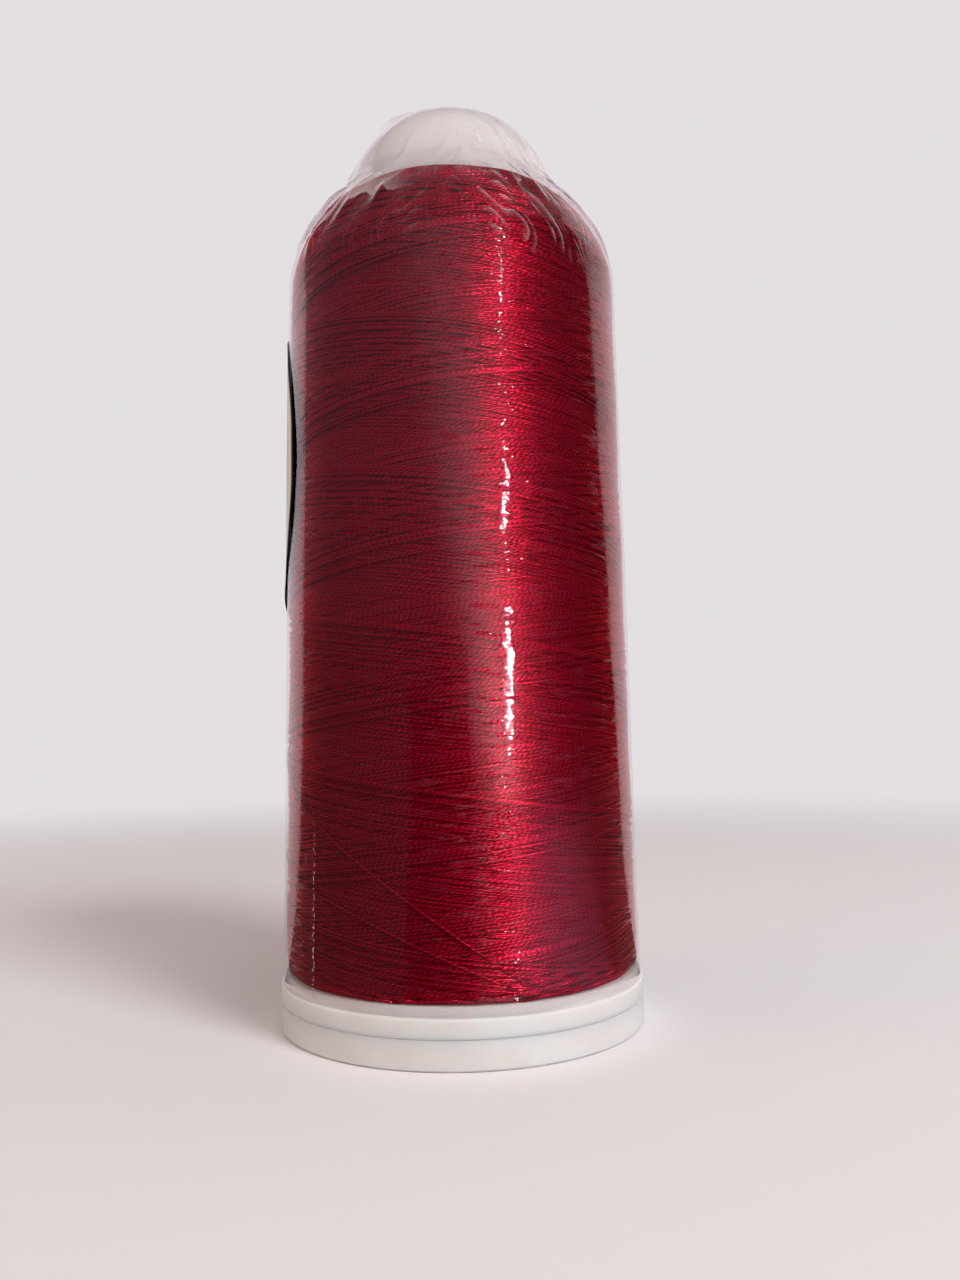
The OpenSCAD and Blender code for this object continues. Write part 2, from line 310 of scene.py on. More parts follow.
# The window's glow is narrow at the table. It leans to the left and widens as it rises, and what
# stands behind it shows through.
LEAN_PER_METRE, SPREAD_PER_METRE = 57.0, 3.0
WINDOW_AZIMUTHS, WINDOW_DISTANCE = (-60, 70), 0.80
WINDOW_HEIGHTS = (0.002, 0.15, 0.30, 0.45, 0.60, 0.90)
WINDOW_MIDDLE = 31.0
WINDOW_COLOUR, WINDOW_STRENGTH = (1.20, 0.84, 1.08), 2.0
WINDOW_ACROSS = ((9, 0.0), (15, 0.16), (21, 0.66), (27, 1.0), (33, 0.9),
                 (38, 0.4), (44, 0.12), (54, 0.04), (66, 0.0))
WINDOW_UP = ((0.0, 0.8), (0.07, 0.8), (0.19, 0.45), (0.31, 0.28),
             (0.43, 0.18), (0.52, 0.14), (0.75, 0.08), (0.90, 0.0))
window = screen("window", WINDOW_AZIMUTHS, WINDOW_DISTANCE, WINDOW_HEIGHTS,
                WINDOW_COLOUR, WINDOW_STRENGTH, steps=64)
tree = window.data.materials[0].node_tree
rise = place_on(tree)["Z"]
upright = maths(tree, "MULTIPLY_ADD", rise, LEAN_PER_METRE, azimuth_on(tree))
spread = maths(tree, "MULTIPLY_ADD", rise, SPREAD_PER_METRE, 1.0)
off_middle = maths(tree, "DIVIDE", maths(tree, "SUBTRACT", upright, WINDOW_MIDDLE), spread)
narrowed = maths(tree, "ADD", off_middle, WINDOW_MIDDLE)
glow_by(tree, multiplied(tree, profile(tree, narrowed, HALF_TURN, WINDOW_ACROSS),
                         profile(tree, rise, METRE, WINDOW_UP)))
see_through = added(tree, "AddShader", {0: tree.nodes["Emission"].outputs[0],
                                        1: added(tree, "BsdfTransparent").outputs[0]})
tree.links.new(see_through.outputs[0], tree.nodes["Material Output"].inputs["Surface"])

# The room in front is dim, a little paler higher up, and dark at the right.
ROOM_AZIMUTHS, ROOM_RADIUS = (-121, 123), 1.1
ROOM_HEIGHTS = (0.0, 0.3, 0.6, 1.6)
ROOM_LEAN = -28.0
ROOM_COLOUR = (0.12, 0.075, 0.08)
ROOM_UP = ((0.0, ROOM_COLOUR), (0.14, (0.13, 0.08, 0.09)), (0.25, (0.18, 0.127, 0.155)),
           (0.40, (0.19, 0.15, 0.20)), (0.55, (0.20, 0.19, 0.25)))
ROOM_ACROSS = ((0, 1.0), (30, 1.0), (46, 0.15), (123, 0.15))
front_screen = screen("front_screen", ROOM_AZIMUTHS, ROOM_RADIUS, ROOM_HEIGHTS,
                      ROOM_COLOUR, lean=ROOM_LEAN)
tree = front_screen.data.materials[0].node_tree
glow_by(tree, multiplied(tree, profile(tree, place_on(tree)["Z"], METRE, ROOM_UP),
                         profile(tree, azimuth_on(tree), HALF_TURN, ROOM_ACROSS)))

# The table in front is dim too, with a pale patch at the right.
TABLE_AT = 0.4 * MM
TABLE_COLOUR = (0.03, 0.075, 0.075)
PATCH_COLOUR = (0.55, 0.42, 0.66)
PATCH_ACROSS = ((20, 0.0), (36, 0.8), (60, 1.0), (76, 0.5), (92, 0.0))
PATCH_OUT = ((0.0, 1.0), (0.14, 1.0), (0.38, 0.8), (0.80, 0.2), (1.0, 0.0))
FAN_POINTS = 46
FAN_DISTANCES = (0.033, 0.3, ROOM_RADIUS)


def low_fan(name, azimuths, height, colour):
    """A glossy-only fan just over the floor, from the foot to the room's screen."""
    ring = [round_the_spool(azimuth, distance, height)
            for azimuth in np.linspace(*azimuths, FAN_POINTS) for distance in FAN_DISTANCES]
    row = len(FAN_DISTANCES)
    fan_faces = [(i, i + 1, i + row + 1, i + row)
                 for i in range(len(ring) - row - 1) if i % row < row - 1]
    return glossy_only(mesh_piece(name, ring, fan_faces), colour, 1.0)


low_screen = low_fan("low_screen", ROOM_AZIMUTHS, TABLE_AT, TABLE_COLOUR)
tree = low_screen.data.materials[0].node_tree
table_place = added(tree, "TexCoord").outputs["Object"]
away = added(tree, "VectorMath", {0: table_place}, operation="LENGTH").outputs["Value"]
patch = multiplied(tree, profile(tree, azimuth_on(tree), HALF_TURN, PATCH_ACROSS),
                   profile(tree, away, METRE, PATCH_OUT))
patched = added(tree, "Mix", {"Factor": patch}, data_type="RGBA")
patched.inputs["A"].default_value = (*TABLE_COLOUR, 1.0)
patched.inputs["B"].default_value = (*PATCH_COLOUR, 1.0)
glow_by(tree, patched.outputs["Result"])

# Something dark stands on the table at the front left, and the ceiling is dim.
BLACK = (0.0, 0.0, 0.0)
DARK_AZIMUTHS, DARK_DISTANCE = (-31, 6), 0.78
DARK_FOOT, DARK_TOP = 0.6 * MM, 109 * MM
CEILING_AT, CEILING_COLOUR = 1.35, (0.30, 0.25, 0.26)
screen("dark_screen", DARK_AZIMUTHS, DARK_DISTANCE, (DARK_FOOT, DARK_TOP), BLACK)
low_fan("dark_table", DARK_AZIMUTHS, DARK_FOOT, BLACK)
glossy_only(round_sheet("dim_ceiling", ROOM_RADIUS, CEILING_AT), CEILING_COLOUR, 1.0)


# ---------------------------------------------------------------------------------------------
# Inner thread: hundreds of layers of crimson filament thread, wound to a shouldered package. Only
# glimpses of the layer below show between the outer turns.
# ---------------------------------------------------------------------------------------------
SKIN_RAY_FROM = 0.1
SKIN_SAMPLES = 1500
SKIN_END = 0.02 * MM


def skin_radius(node, z):
    """Outer radius of a packed round solid at height z, in metres, or None where it has no skin."""
    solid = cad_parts[node]
    hit, at, _, _ = solid.ray_cast(Vector((SKIN_RAY_FROM, 0, z)), Vector((-1, 0, 0)))
    return at.x if hit and at.x > 0 else None


def run_along(line):
    """The distance run along a line of [radius, height] points, at each of them."""
    return np.concatenate([[0.0], np.cumsum(np.hypot(*np.diff(line, axis=0).T))])


def skin_outline(node, spacing):
    """Points [radius, height] up a packed round solid's skin, evenly spaced along it."""
    low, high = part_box(node)
    points = []
    for z in np.linspace(low.z + SKIN_END, high.z - SKIN_END, SKIN_SAMPLES):
        radius = skin_radius(node, z)
        if radius is not None:
            points.append((radius, z))
    points = np.array(points)
    run = run_along(points)
    at = np.linspace(0.0, run[-1], int(run[-1] / spacing) + 1)
    return np.column_stack([np.interp(at, run, points[:, 0]), np.interp(at, run, points[:, 1])])


def smoothed(values, reach):
    """A list of values or points, averaged over a window that shrinks at the ends."""
    values = np.asarray(values, float)
    out = values.copy()
    for i in range(len(values)):
        near = min(reach, i, len(values) - 1 - i)
        out[i] = values[i - near:i + near + 1].mean(axis=0)
    return out


LINE_STEP = 0.5 * MM
LINE_SMOOTHING = 5
pack_line = smoothed(skin_outline("thread_pack", LINE_STEP), LINE_SMOOTHING)
pack_run = np.arange(len(pack_line)) * LINE_STEP
pack_along = np.gradient(pack_line, axis=0)
pack_out = np.column_stack([pack_along[:, 1], -pack_along[:, 0]])
pack_out[:, 1] = np.maximum(pack_out[:, 1], 0.0)
pack_out /= np.linalg.norm(pack_out, axis=1)[:, None]


def outward_at(run):
    """The outward direction's radius and height parts, at a distance run up the package."""
    return np.interp(run, pack_run, pack_out[:, 0]), np.interp(run, pack_run, pack_out[:, 1])


def on_pack(run, stand_off):
    """Radius and height at a distance run up the package's outline, stood off it."""
    out_r, out_z = outward_at(run)
    radius = np.interp(run, pack_run, pack_line[:, 0]) + stand_off * out_r
    height = np.interp(run, pack_run, pack_line[:, 1]) + stand_off * out_z
    return radius, height


def revolved(name, line, sides):
    """A closed ring-shaped surface, turned from a closed line of [radius, height] points."""
    rows = len(line)
    turn = 2 * math.pi * np.arange(sides) / sides
    verts = [(r * math.cos(a), r * math.sin(a), z) for a in turn for r, z in line]
    faces = []
    for i in range(sides):
        a, b = i * rows, (i + 1) % sides * rows
        for k in range(rows):
            above = (k + 1) % rows
            faces.append((a + k, b + k, b + above, a + above))
    return mesh_piece(name, verts, faces)


# Its outside lies just under the outer turns. Its inside clears the core's tube, whose radius is
# taken a little below the package's top.
UNDER_OFF = 0.76 * MM
CORE_CLEAR = 0.22 * MM
CORE_TOP_DOWN = 2 * MM
INNER_FOOT_R = 21.2 * MM
INNER_SIDES = 96
pack_low, pack_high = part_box("thread_pack")
under_line = np.column_stack(on_pack(pack_run, UNDER_OFF))
core_top_r = skin_radius("spool_core", pack_high.z - CORE_TOP_DOWN) + CORE_CLEAR
core_line = [(core_top_r, under_line[-1][1]), (INNER_FOOT_R, pack_low.z)]
inner_thread = revolved("inner_thread", np.vstack([under_line[::2], core_line]), INNER_SIDES)
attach(inner_thread, "core")
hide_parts("thread_pack")

TWIST = 1.9
PLY_SHADING_SHARPNESS, PLY_ROUNDNESS = 2.0, 0.6


def plied_shine():
    """Node group: the beads of a two-ply thread. In: the distance along the thread, the place round
    it, and the length of a twist. Out: a mask that paints the ply tops lighter and the grooves
    between them darker, as painted light and shade, and a height."""
    group = bpy.data.node_groups.new("two_ply_beads", "ShaderNodeTree")
    for name, default in (("Along", 0.0), ("Round", 0.0), ("Twist", TWIST)):
        socket = group.interface.new_socket(name, in_out="INPUT", socket_type="NodeSocketFloat")
        socket.default_value = default
    for name in ("Painted Ply Shading", "Height"):
        group.interface.new_socket(name, in_out="OUTPUT", socket_type="NodeSocketFloat")
    inside, outside = group.nodes.new("NodeGroupInput"), group.nodes.new("NodeGroupOutput")

    turns = maths(group, "DIVIDE", inside.outputs["Along"], inside.outputs["Twist"])
    turns_round = maths(group, "ADD", turns, inside.outputs["Round"])
    phase = maths(group, "MULTIPLY", turns_round, 2 * math.pi)
    wave = maths(group, "ABSOLUTE", maths(group, "SINE", phase))
    group.links.new(maths(group, "POWER", wave, PLY_SHADING_SHARPNESS), outside.inputs["Painted Ply Shading"])
    group.links.new(maths(group, "POWER", wave, PLY_ROUNDNESS), outside.inputs["Height"])
    return group


beads = plied_shine()
# The thread's colour in the grooves between plies and turns, darkened as painted shade, and on
# their tops, lightened as painted light
THREAD_GROOVE_SHADE = (0.28, 0.002, 0.012, 1.0)
THREAD_LIT_TOP = (0.66, 0.010, 0.045, 1.0)
THREAD_SHINE_TINT = (1.0, 0.12, 0.18, 1.0)
BEAD_DEPTH = 0.05 * MM
BAND_SCALE = 900.0


def thread_material(name, on_strand):
    """Bright filament thread. On a strand the beads follow its UVs; on a plain surface a fine band
    pattern stands for the turns. Its colour is painted lighter on the ply tops and band crests and
    darker between them, as painted light and shade."""
    material = bpy.data.materials.new(name)
    material.use_nodes = True
    tree = material.node_tree
    shader = tree.nodes["Principled BSDF"]
    shader.inputs["Metallic"].default_value = 0.85
    shader.inputs["Roughness"].default_value = 0.32
    shader.inputs["Specular IOR Level"].default_value = 0.6
    shader.inputs["Specular Tint"].default_value = THREAD_SHINE_TINT
    if on_strand:
        strand_uv = added(tree, "UVMap", uv_map="strand").outputs["UV"]
        place = added(tree, "SeparateXYZ", {0: strand_uv}).outputs
        ply = added(tree, "Group", node_tree=beads)
        ply.inputs["Twist"].default_value = TWIST
        tree.links.new(place["X"], ply.inputs["Along"])
        tree.links.new(place["Y"], ply.inputs["Round"])
        painted_shading_mask, height = ply.outputs["Painted Ply Shading"], ply.outputs["Height"]
    else:
        place = added(tree, "TexCoord").outputs["Object"]
        bands = added(tree, "TexWave", {"Vector": place, "Scale": BAND_SCALE, "Distortion": 1.5},
                      wave_type="BANDS", bands_direction="Z")
        painted_shading_mask, height = bands.outputs["Fac"], bands.outputs["Fac"]
    # Painted light and shade: the base colour is lighter on the ply tops and band crests and darker
    # in the grooves between plies and turns
    colour = added(tree, "Mix", {"Factor": painted_shading_mask}, data_type="RGBA")
    colour.inputs["A"].default_value = THREAD_GROOVE_SHADE
    colour.inputs["B"].default_value = THREAD_LIT_TOP
    bump = added(tree, "Bump", {"Strength": 0.8, "Distance": BEAD_DEPTH, "Height": height})
    tree.links.new(colour.outputs["Result"], shader.inputs["Base Color"])
    tree.links.new(bump.outputs["Normal"], shader.inputs["Normal"])
    return material


inner_thread.data.materials.append(thread_material("inner_thread", on_strand=False))

# ---------------------------------------------------------------------------------------------
# Outer thread: one strand, cross-wound. It runs up the package and back at about 25 mm a turn, and
# each run lies a strand's width beside the last one that went its way, over all that lie across it.
# ---------------------------------------------------------------------------------------------
STRAND_W = 0.57 * MM
STRAND_T = 0.38 * MM
LAY = 0.54 * MM
RISE = 25 * MM
FIRST_OFF = 0.66 * MM
LAST_OFF = 1.12 * MM
RING_STEPS = 48
SIDES = 6
rng = np.random.default_rng(7)

pack_length = pack_run[-1]
laps = round(2 * pack_length / RISE)
turns_per_lap = laps + LAY / RISE
lap_count = round(RISE / LAY)

# Each way turns back at its own place near the foot and near the top.
FOOT_TURNS, TOP_TURNS = (0.2 * MM, 2.2 * MM), (0.3 * MM, 4.0 * MM)
ends = np.empty(2 * lap_count + 2)
ends[0::2] = rng.uniform(*FOOT_TURNS, lap_count + 1)
ends[1::2] = pack_length - rng.uniform(*TOP_TURNS, lap_count + 1)

# The lay wanders a little: two slow swings, each with its size in lays and its pace.
WIDE_DRIFT, WIDE_PACE = 0.08, 0.9
SMALL_DRIFT, SMALL_PACE = 0.04, 2.7


def strand_path(lap, back, samples):
    """Turn angle, run up the outline and stand-off for one way of a lap."""
    done = np.linspace(0.0, 1.0, samples)
    low, high = ends[2 * lap], ends[2 * lap + 1]
    if back:
        low = ends[2 * lap + 2]
    run = low + (high - low) * (1.0 - done if back else done)
    order = lap + (0.5 if back else 0.0) + 0.5 * done
    drift = WIDE_DRIFT * np.sin(order * WIDE_PACE) + SMALL_DRIFT * np.sin(order * SMALL_PACE)
    turn = 2 * math.pi * (order * turns_per_lap + drift * LAY / RISE)
    off = FIRST_OFF + (LAST_OFF - FIRST_OFF) * order / lap_count
    return turn, run, off


def tube(points, outward):
    """Rings of the strand's oval section along points, thinnest along the outward directions."""
    along = np.gradient(points, axis=0)
    along /= np.linalg.norm(along, axis=1)[:, None]
    across = np.cross(along, outward)
    across /= np.linalg.norm(across, axis=1)[:, None]
    upward = np.cross(across, along)
    angle = 2 * math.pi * np.arange(SIDES) / SIDES
    ring = (upward[:, None, :] * (0.5 * STRAND_T * np.cos(angle))[None, :, None]
            + across[:, None, :] * (0.5 * STRAND_W * np.sin(angle))[None, :, None])
    return points[:, None, :] + ring


def wound_run(turn, run, off):
    """Tube rings and running length, in millimetres, for one run of the strand."""
    radius, height = on_pack(run, off)
    out_r, out_z = outward_at(run)
    points = np.column_stack([radius * np.cos(turn), radius * np.sin(turn), height])
    outward = np.column_stack([out_r * np.cos(turn), out_r * np.sin(turn), out_z])
    steps = np.linalg.norm(np.diff(points, axis=0), axis=1)
    return tube(points, outward), np.concatenate([[0.0], np.cumsum(steps)]) / MM


def unwrapped(piece, name, corners):
    """Gives a piece a UV layer, from one [x, y] for each corner of its faces, in their order. What
    is left of its corners stays at 0."""
    layer = piece.data.uv_layers.new(name=name)
    flat = np.zeros((len(piece.data.loops), 2), np.float32)
    flat[:len(corners)] = corners
    layer.data.foreach_set("uv", flat.ravel())


def strand_mesh(name, runs):
    """One object from the tubes of several runs. UV x is millimetres along and y is the place
    round."""
    verts, faces, uvs, caps = [], [], [], []
    base = 0
    for rings, length in runs:
        count = len(rings)
        shape = (count - 1, SIDES)
        verts.append(rings.reshape(-1, 3))
        i = np.arange(count - 1)[:, None]
        k = np.arange(SIDES)[None, :]
        a = base + i * SIDES + k
        b = base + i * SIDES + (k + 1) % SIDES
        faces.append(np.stack([a, b, b + SIDES, a + SIDES], axis=-1).reshape(-1, 4))
        near = np.broadcast_to(length[:-1, None], shape)
        far = np.broadcast_to(length[1:, None], shape)
        low = np.broadcast_to(k / SIDES, shape)
        high = low + 1 / SIDES
        uvs.append(np.stack([np.stack([near, low], -1), np.stack([near, high], -1),
                             np.stack([far, high], -1), np.stack([far, low], -1)],
                            axis=2).reshape(-1, 2))
        caps.append(tuple(base + np.arange(SIDES)[::-1]))
        base += count * SIDES
        caps.append(tuple(base - SIDES + np.arange(SIDES)))
    walls = [tuple(face) for face in np.vstack(faces)]
    piece = mesh_piece(name, np.vstack(verts), walls + caps)
    unwrapped(piece, "strand", np.vstack(uvs))
    return piece


# The beads of each way start at their own place within about one twist, in millimetres.
BEADS_FROM = (0, 2)
way_samples = int(0.5 * turns_per_lap * RING_STEPS) + 1
strand_material = thread_material("outer_thread", on_strand=True)
for name, back in (("rising_turns", False), ("falling_turns", True)):
    runs = []
    for lap in range(lap_count):
        rings, length = wound_run(*strand_path(lap, back, way_samples))
        runs.append((rings, length + rng.uniform(*BEADS_FROM)))
    strand = strand_mesh(name, runs)
    strand.data.materials.append(strand_material)
    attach(strand, "core")
    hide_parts("outer_winding")


def angle_at(azimuth):
    """Angle from the X axis, in radians, at an azimuth in degrees from the front."""
    return np.radians(azimuth - 90.0)


# The last of the thread leaves the pattern and runs steeply down to the foot, twice. Each of these
# two runs passes through places given by azimuth in degrees and height in millimetres.
TAIL_OFF = LAST_OFF + 0.12 * MM
TAILS = (((-112, 55), (-80, 45.8), (-50, 36.5), (-17, 25.5), (7, 16.1), (20, 11.6)),
         ((-115, 33.5), (-75, 28.6), (-31, 22.4), (2, 14.6), (15, 11.4)))
TAIL_SAMPLES, TAIL_SMOOTHING = 40, 4
runs = []
for tail in TAILS:
    knots = np.array(tail, float)
    azimuth = np.linspace(knots[0, 0], knots[-1, 0], TAIL_SAMPLES)
    height = smoothed(np.interp(azimuth, knots[:, 0], knots[:, 1]), TAIL_SMOOTHING) * MM
    run = np.interp(height, pack_line[:, 1], pack_run)
    runs.append(wound_run(angle_at(azimuth), run, TAIL_OFF))
tail_strand = strand_mesh("tail_strand", runs)
tail_strand.data.materials.append(strand_material)
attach(tail_strand, "core")

# ---------------------------------------------------------------------------------------------
# Film: a sleeve of clear shrink film from the step on the foot to the nose. It clings to the
# thread, stands off in a loose tent at the left of the shoulder, and is gathered into pleats round
# the nose.
# ---------------------------------------------------------------------------------------------
FILM_COLUMNS = 420
SIDE_STEP, CROWN_STEP = 3.0 * MM, 0.7 * MM
CROWN_FROM = 124 * MM
FILM_WALL = 0.04 * MM
FILM_SPACING, FILM_SMOOTHING = 0.1 * MM, 6
fine_line = smoothed(skin_outline("shrink_film", FILM_SPACING), FILM_SMOOTHING)
fine_run = run_along(fine_line)
crown_run = np.interp(CROWN_FROM, fine_line[:, 1], fine_run)
side_rows = int(crown_run / SIDE_STEP)
crown_rows = int((fine_run[-1] - crown_run) / CROWN_STEP)
film_run = np.concatenate([np.linspace(0.0, crown_run, side_rows + 1)[:-1],
                           np.linspace(crown_run, fine_run[-1], crown_rows + 1)])
film_line = np.column_stack([np.interp(film_run, fine_run, fine_line[:, 0]),
                             np.interp(film_run, fine_run, fine_line[:, 1])])
film_along = np.gradient(film_line, film_run, axis=0)
film_out = np.column_stack([film_along[:, 1], -film_along[:, 0]])
film_out /= np.linalg.norm(film_out, axis=1)[:, None]


def bump_shape(x, centre, half_width):
    """A smooth hump of height 1 and the given half width."""
    away = np.clip(np.abs(x - centre) / half_width, 0.0, 1.0)
    return 0.5 + 0.5 * np.cos(math.pi * away)


def turned_away(azimuth, centre):
    """Degrees from one azimuth to another, from -180 to 180."""
    return (azimuth - centre + 180.0) % 360.0 - 180.0


RIPPLE_SPAN = 100 * MM
SECOND_RIPPLE = 0.6


def ripples(azimuth, height, waves, seed):
    """Smooth random ripples: a sum of waves, each with its turns round, its waves up a ripple span
    and its share."""
    random = np.random.default_rng(seed)
    total = np.zeros(np.broadcast(azimuth, height).shape)
    turn = np.radians(azimuth)
    for around, up, share in waves:
        phase, lean = random.uniform(0, 2 * math.pi, 2)
        climb = 2 * math.pi * up * height / RIPPLE_SPAN
        total += share * np.sin(turn * around + climb + phase)
        total += SECOND_RIPPLE * share * np.sin(turn * (around + 1) - climb + lean)
    return total


azimuth = np.linspace(-180.0, 180.0, FILM_COLUMNS, endpoint=False)[:, None]
radius = film_line[None, :, 0]
height = film_line[None, :, 1]
top_height = film_line[-1, 1]

CLING_RIPPLE = 0.035 * MM
CLING_WAVES = ((2, 1.0, 1.0), (5, 3.1, 0.7), (9, 6.3, 0.4), (14, 11.0, 0.25))
lift = CLING_RIPPLE * ripples(azimuth, height, CLING_WAVES, 3)

# The pleats: narrow ridges that lean outward as they run down from the nose. Their leans and widths
# are in degrees, their depths in millimetres, and their starts and lengths in shares of the crown.
PLEATS = 90
PLEAT_LEAN, PLEAT_WIDTH, PLEAT_DEPTH = (10, 45), (1.6, 5), (0.3, 0.8)
PLEAT_START, PLEAT_LENGTH = (0.0, 0.45), (0.2, 0.45)
SHOULDER_HEIGHT = 131 * MM
past = np.clip((height - SHOULDER_HEIGHT) / (top_height - SHOULDER_HEIGHT), 0.0, 1.0)
pleat_rng = np.random.default_rng(21)
for _ in range(PLEATS):
    centre = pleat_rng.uniform(-180, 180)
    lean = -math.copysign(pleat_rng.uniform(*PLEAT_LEAN), centre)
    width = pleat_rng.uniform(*PLEAT_WIDTH)
    depth = pleat_rng.uniform(*PLEAT_DEPTH) * MM
    start = pleat_rng.uniform(*PLEAT_START)
    length = pleat_rng.uniform(*PLEAT_LENGTH)
    strength = bump_shape(past, start + 0.5 * length, 0.5 * length)
    away = np.abs(turned_away(azimuth, centre + lean * (past - start))) / width
    lift = lift + depth * strength * np.clip(1.0 - away, 0.0, 1.0)

# The seam of the sleeve, a narrow ridge at the front left that fades out above the foot
SEAM_AZIMUTH, SEAM_HALF_WIDTH = -50.0, 2.2
SEAM_TOP, SEAM_FADE = 34 * MM, 14 * MM
SEAM_RIDGE = 0.14 * MM
seam_low = np.clip((SEAM_TOP - height) / SEAM_FADE, 0.0, 1.0)
seam = bump_shape(turned_away(azimuth, SEAM_AZIMUTH), 0.0, SEAM_HALF_WIDTH) * seam_low
lift = lift + SEAM_RIDGE * seam

# The tent: a slope from the shoulder to the nose that swells a little, over the left side only
TENT_LOW, TENT_HIGH = 129 * MM, 161 * MM
TENT_AZIMUTH, TENT_HALF_WIDTH = -92.0, 62.0
TENT_SWELL, TENT_BREADTH, TENT_SHARE = 1.25, 0.7, 0.95
low_radius = np.interp(TENT_LOW, film_line[:, 1], film_line[:, 0])
high_radius = np.interp(TENT_HIGH, film_line[:, 1], film_line[:, 0])
share = np.clip((height - TENT_LOW) / (TENT_HIGH - TENT_LOW), 0.0, 1.0)
slope = low_radius + (high_radius - low_radius) * share ** TENT_SWELL
slack = np.maximum(slope - radius, 0.0)
tent = bump_shape(turned_away(azimuth, TENT_AZIMUTH), 0.0, TENT_HALF_WIDTH) ** TENT_BREADTH
tent_radius = radius + slack * tent * TENT_SHARE

# The film stays inside the foot's edge, under the spool's top and over the foot's step, and its
# lower edge is ragged.
WIDEST = 31.9 * MM
HEM_LOWEST, HEM_TOP, HEM_FADE = 8.05 * MM, 9.2 * MM, 1 * MM
HEM_RAGGED = 0.25 * MM
HEM_WAVES = ((3, 0, 1.0), (7, 0, 0.6), (13, 0, 0.4))
film_radius = tent_radius + lift * film_out[None, :, 0]
film_height = height + lift * film_out[None, :, 1]
film_radius = np.minimum(film_radius, WIDEST)
film_height = np.minimum(film_height, cad_box[1][2] - 0.6 * FILM_WALL)
ragged = HEM_RAGGED * ripples(azimuth, 0.0 * height, HEM_WAVES, 5)
film_height = film_height + ragged * np.clip((HEM_TOP - height) / HEM_FADE, 0.0, 1.0)
film_height = np.maximum(film_height, HEM_LOWEST)

angles = angle_at(azimuth)
film_x = film_radius * np.cos(angles)
film_y = film_radius * np.sin(angles)
film_points = np.stack([film_x, film_y, np.broadcast_to(film_height, film_x.shape)], axis=-1)
rows = len(film_line)
film_faces = []
for i in range(FILM_COLUMNS):
    a, b = i * rows, (i + 1) % FILM_COLUMNS * rows
    film_faces += [(a + k, b + k, b + k + 1, a + k + 1) for k in range(rows - 1)]
film_sleeve = mesh_piece("film_sleeve", film_points.reshape(-1, 3), film_faces)

# The sleeve unrolled: UV x is millimetres round, from the back, and y is millimetres up. The last
# column of faces ends at the full girth.
FILM_ROUND = 197.3
corner_count = len(film_sleeve.data.loops)
corner_points = np.zeros(corner_count, np.int64)
film_sleeve.data.loops.foreach_get("vertex_index", corner_points)
column, row = corner_points // rows, corner_points % rows
last_faces = np.arange(corner_count) >= (FILM_COLUMNS - 1) * (rows - 1) * 4
column = np.where((column == 0) & last_faces, FILM_COLUMNS, column)
unrolled_corners = np.column_stack([column * (FILM_ROUND / FILM_COLUMNS), film_run[row] / MM])
unwrapped(film_sleeve, "unrolled", unrolled_corners)
wall = film_sleeve.modifiers.new("wall", "SOLIDIFY")
wall.thickness = FILM_WALL
wall.offset = 0.0
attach(film_sleeve, "core")
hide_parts("shrink_film")

film_material = bpy.data.materials.new("clear_film")
film_material.use_nodes = True
tree = film_material.node_tree
tree.nodes.clear()
unrolled = added(tree, "UVMap", uv_map="unrolled").outputs["UV"]
across, along = added(tree, "SeparateXYZ", {0: unrolled}).outputs[:2]


def film_noise(tree, layout, scale, **sockets):
    """Noise over a flat layout of the film, with scale in waves per mm across and along it."""
    mapping = added(tree, "Mapping", {"Vector": layout, "Scale": (*scale, 1.0)})
    noise = added(tree, "TexNoise", {"Vector": mapping.outputs["Vector"], "Scale": 1.0, **sockets})
    return noise.outputs["Fac"]


def ramped(tree, value, start, end):
    """0 at the start value, 1 at the end value, and clamped beyond them."""
    ramp = added(tree, "MapRange", {"Value": value, "From Min": start, "From Max": end})
    return ramp.outputs["Result"]


# Sharp creases run down and outward from the nose over the shoulder, most of them at the right.
FRONT = 0.5 * FILM_ROUND
CROWN_AT = crown_run / MM
CREASE_FROM, CREASE_FULL = 4.0, 14.0
CREASE_SLANT, CREASE_PITCH, CREASE_SHARPNESS = 0.4, 0.50, 5.0
WANDER_SCALE, WANDER = (0.12, 0.07), 9.0
GATE_SCALE, GATE = (0.30, 0.10), (0.48, 0.64)
RIGHT_FROM, RIGHT_FULL = 1.0, 12.0
LEFT_CREASE, RIGHT_CREASE = 0.14, 0.86
CREASE_DEPTH = 0.35 * MM
on_crown = ramped(tree, along, CROWN_AT + CREASE_FROM, CROWN_AT + CREASE_FULL)
from_front = maths(tree, "ABSOLUTE", maths(tree, "SUBTRACT", across, FRONT))
outward = maths(tree, "MULTIPLY_ADD", along, CREASE_SLANT, from_front)
fan = added(tree, "CombineXYZ", {"X": outward, "Y": along}).outputs[0]
wander = maths(tree, "MULTIPLY", film_noise(tree, fan, WANDER_SCALE, Detail=1.0), WANDER)
fold = maths(tree, "FRACT", maths(tree, "MULTIPLY_ADD", outward, CREASE_PITCH, wander))
fold = maths(tree, "MULTIPLY", maths(tree, "POWER", fold, CREASE_SHARPNESS), on_crown)
gate = ramped(tree, film_noise(tree, fan, GATE_SCALE, Detail=1.0), *GATE)
crease = maths(tree, "MULTIPLY", fold, gate)
to_right = ramped(tree, across, FRONT + RIGHT_FROM, FRONT + RIGHT_FULL)
crease_share = maths(tree, "MULTIPLY_ADD", to_right, RIGHT_CREASE, LEFT_CREASE)
crease = maths(tree, "MULTIPLY", crease, crease_share)
crease_bump = added(tree, "Bump", {"Strength": 1.0, "Distance": CREASE_DEPTH, "Height": crease})

